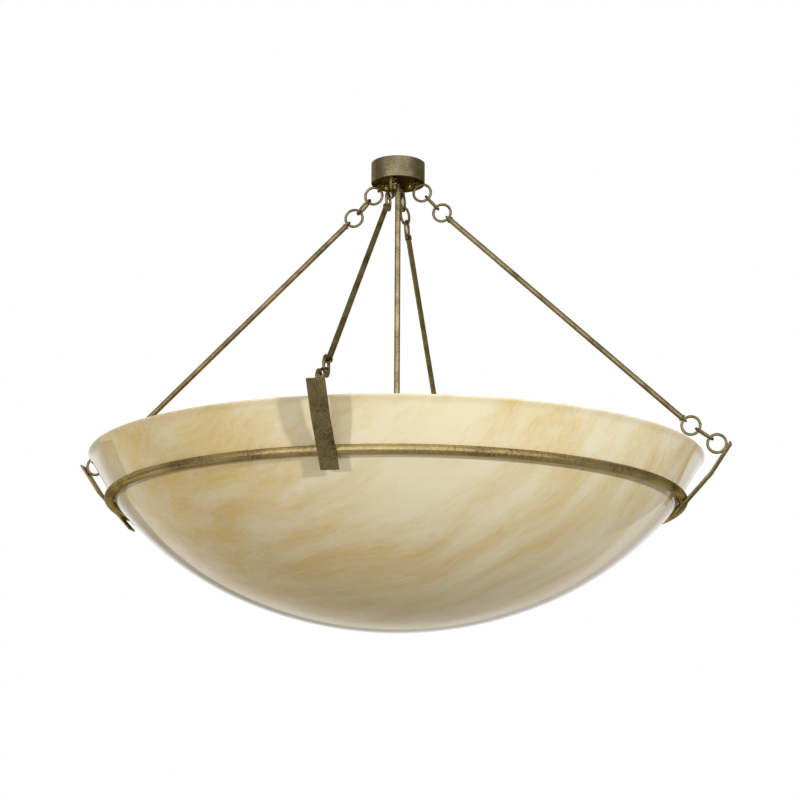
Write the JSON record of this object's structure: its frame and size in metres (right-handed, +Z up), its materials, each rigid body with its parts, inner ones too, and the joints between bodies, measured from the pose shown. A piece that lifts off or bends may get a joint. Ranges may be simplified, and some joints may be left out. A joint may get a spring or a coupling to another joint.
{
  "type": "alabaster bowl pendant",
  "caption": "Large bowl pendant: alabaster bowl on a brass hoop, hung by chain-linked rods from a drum canopy, with a stem-mounted lamp cluster inside.",
  "frame": {"origin": "centre of the canopy's open top, where the crossbar and the canopy's rim meet the ceiling", "axes": "+Z up along the stem; the four suspension arms lie along +X, +Y, -X and -Y"},
  "size_m": [1.5212, 1.5212, 1.1085],
  "materials": {
    "antique_brass": "mottled antique patina, rubbed bright on edges",
    "alabaster": "polished, creamy with amber veins",
    "glazed_porcelain": "white glaze",
    "zinc_steel": "zinc plated",
    "opal_lamp": "opal globe"
  },
  "bodies": {
    "ceiling_assembly": {"mounting_crossbar": "zinc_steel", "ground_screw": "zinc_steel", "canopy": "antique_brass", "canopy_studs": "zinc_steel", "canopy_cap_nuts": "antique_brass", "canopy_eye_nuts": "zinc_steel", "stem_nipple": "zinc_steel", "nipple_lock_nuts": "zinc_steel", "stem_collar": "antique_brass", "stem": "antique_brass", "hub_collar": "antique_brass", "cluster_hub": "antique_brass", "stem_lock_nut": "zinc_steel", "cluster_cover": "antique_brass", "cluster_finial": "antique_brass", "socket_arms": "antique_brass", "lamp_sockets": "glazed_porcelain", "canopy_eye_east": "antique_brass", "canopy_eye_north": "antique_brass", "canopy_eye_west": "antique_brass", "canopy_eye_south": "antique_brass"},
    "hoop_frame": {"hoop": "antique_brass", "strap_east": "antique_brass", "strap_north": "antique_brass", "strap_west": "antique_brass", "strap_south": "antique_brass", "lug_ring_east": "antique_brass", "lug_ring_north": "antique_brass", "lug_ring_west": "antique_brass", "lug_ring_south": "antique_brass"},
    "bowl": {"bowl": "alabaster"},
    "arm_east": {"east_upper_rings": "antique_brass", "east_lower_ring": "antique_brass", "east_oval_links": "antique_brass", "east_rod": "antique_brass", "east_rod_ends": "antique_brass"},
    "arm_north": {"north_upper_rings": "antique_brass", "north_lower_ring": "antique_brass", "north_oval_links": "antique_brass", "north_rod": "antique_brass", "north_rod_ends": "antique_brass"},
    "arm_west": {"west_upper_rings": "antique_brass", "west_lower_ring": "antique_brass", "west_oval_links": "antique_brass", "west_rod": "antique_brass", "west_rod_ends": "antique_brass"},
    "arm_south": {"south_upper_rings": "antique_brass", "south_lower_ring": "antique_brass", "south_oval_links": "antique_brass", "south_rod": "antique_brass", "south_rod_ends": "antique_brass"},
    "lamp_1_body": {"lamp_1": "opal_lamp"},
    "lamp_2_body": {"lamp_2": "opal_lamp"},
    "lamp_3_body": {"lamp_3": "opal_lamp"},
    "lamp_4_body": {"lamp_4": "opal_lamp"},
    "lamp_5_body": {"lamp_5": "opal_lamp"},
    "lamp_6_body": {"lamp_6": "opal_lamp"}
  },
  "joints": [
    {"name": "pendant_sway", "type": "hinge", "parent": "ceiling_assembly", "child": "hoop_frame", "pos_m": [0, 0, -0.01811], "axis": [0, 1, 0], "range_deg": [-5, 5]},
    {"name": "east_arm_swing", "type": "hinge", "parent": "ceiling_assembly", "child": "arm_east", "pos_m": [0.0447, 0, -0.06029], "axis": [0, 1, 0], "range_deg": [-5.5, 5.5]},
    {"name": "north_arm_swing", "type": "hinge", "parent": "ceiling_assembly", "child": "arm_north", "pos_m": [0, 0.0447, -0.06029], "axis": [0, 1, 0], "range_deg": [-5.5, 5.5]},
    {"name": "west_arm_swing", "type": "hinge", "parent": "ceiling_assembly", "child": "arm_west", "pos_m": [-0.0447, 0, -0.06029], "axis": [0, 1, 0], "range_deg": [-5.5, 5.5]},
    {"name": "south_arm_swing", "type": "hinge", "parent": "ceiling_assembly", "child": "arm_south", "pos_m": [0, -0.0447, -0.06029], "axis": [0, 1, 0], "range_deg": [-5.5, 5.5]},
    {"name": "bowl_lift", "type": "slide", "parent": "hoop_frame", "child": "bowl", "axis": [0, 0, 1], "range_m": [0, 0.025]},
    {"name": "lamp_1_unscrew", "type": "hinge", "parent": "ceiling_assembly", "child": "lamp_1_body", "pos_m": [0.12339, 0.07124, -0.83744], "axis": [0.8529, 0.4924, 0.1736], "continuous": true},
    {"name": "lamp_2_unscrew", "type": "hinge", "parent": "ceiling_assembly", "child": "lamp_2_body", "pos_m": [0, 0.14248, -0.83744], "axis": [0, 0.9848, 0.1736], "continuous": true},
    {"name": "lamp_3_unscrew", "type": "hinge", "parent": "ceiling_assembly", "child": "lamp_3_body", "pos_m": [-0.12339, 0.07124, -0.83744], "axis": [-0.8529, 0.4924, 0.1736], "continuous": true},
    {"name": "lamp_4_unscrew", "type": "hinge", "parent": "ceiling_assembly", "child": "lamp_4_body", "pos_m": [-0.12339, -0.07124, -0.83744], "axis": [-0.8529, -0.4924, 0.1736], "continuous": true},
    {"name": "lamp_5_unscrew", "type": "hinge", "parent": "ceiling_assembly", "child": "lamp_5_body", "pos_m": [0, -0.14248, -0.83744], "axis": [0, -0.9848, 0.1736], "continuous": true},
    {"name": "lamp_6_unscrew", "type": "hinge", "parent": "ceiling_assembly", "child": "lamp_6_body", "pos_m": [0.12339, -0.07124, -0.83744], "axis": [0.8529, -0.4924, 0.1736], "continuous": true}
  ],
  "couplings": [
    {"joint": "east_arm_swing", "follows": "pendant_sway", "ratio": 1.0669},
    {"joint": "north_arm_swing", "follows": "pendant_sway", "ratio": 1.0669},
    {"joint": "west_arm_swing", "follows": "pendant_sway", "ratio": 1.0669},
    {"joint": "south_arm_swing", "follows": "pendant_sway", "ratio": 1.0669}
  ]
}
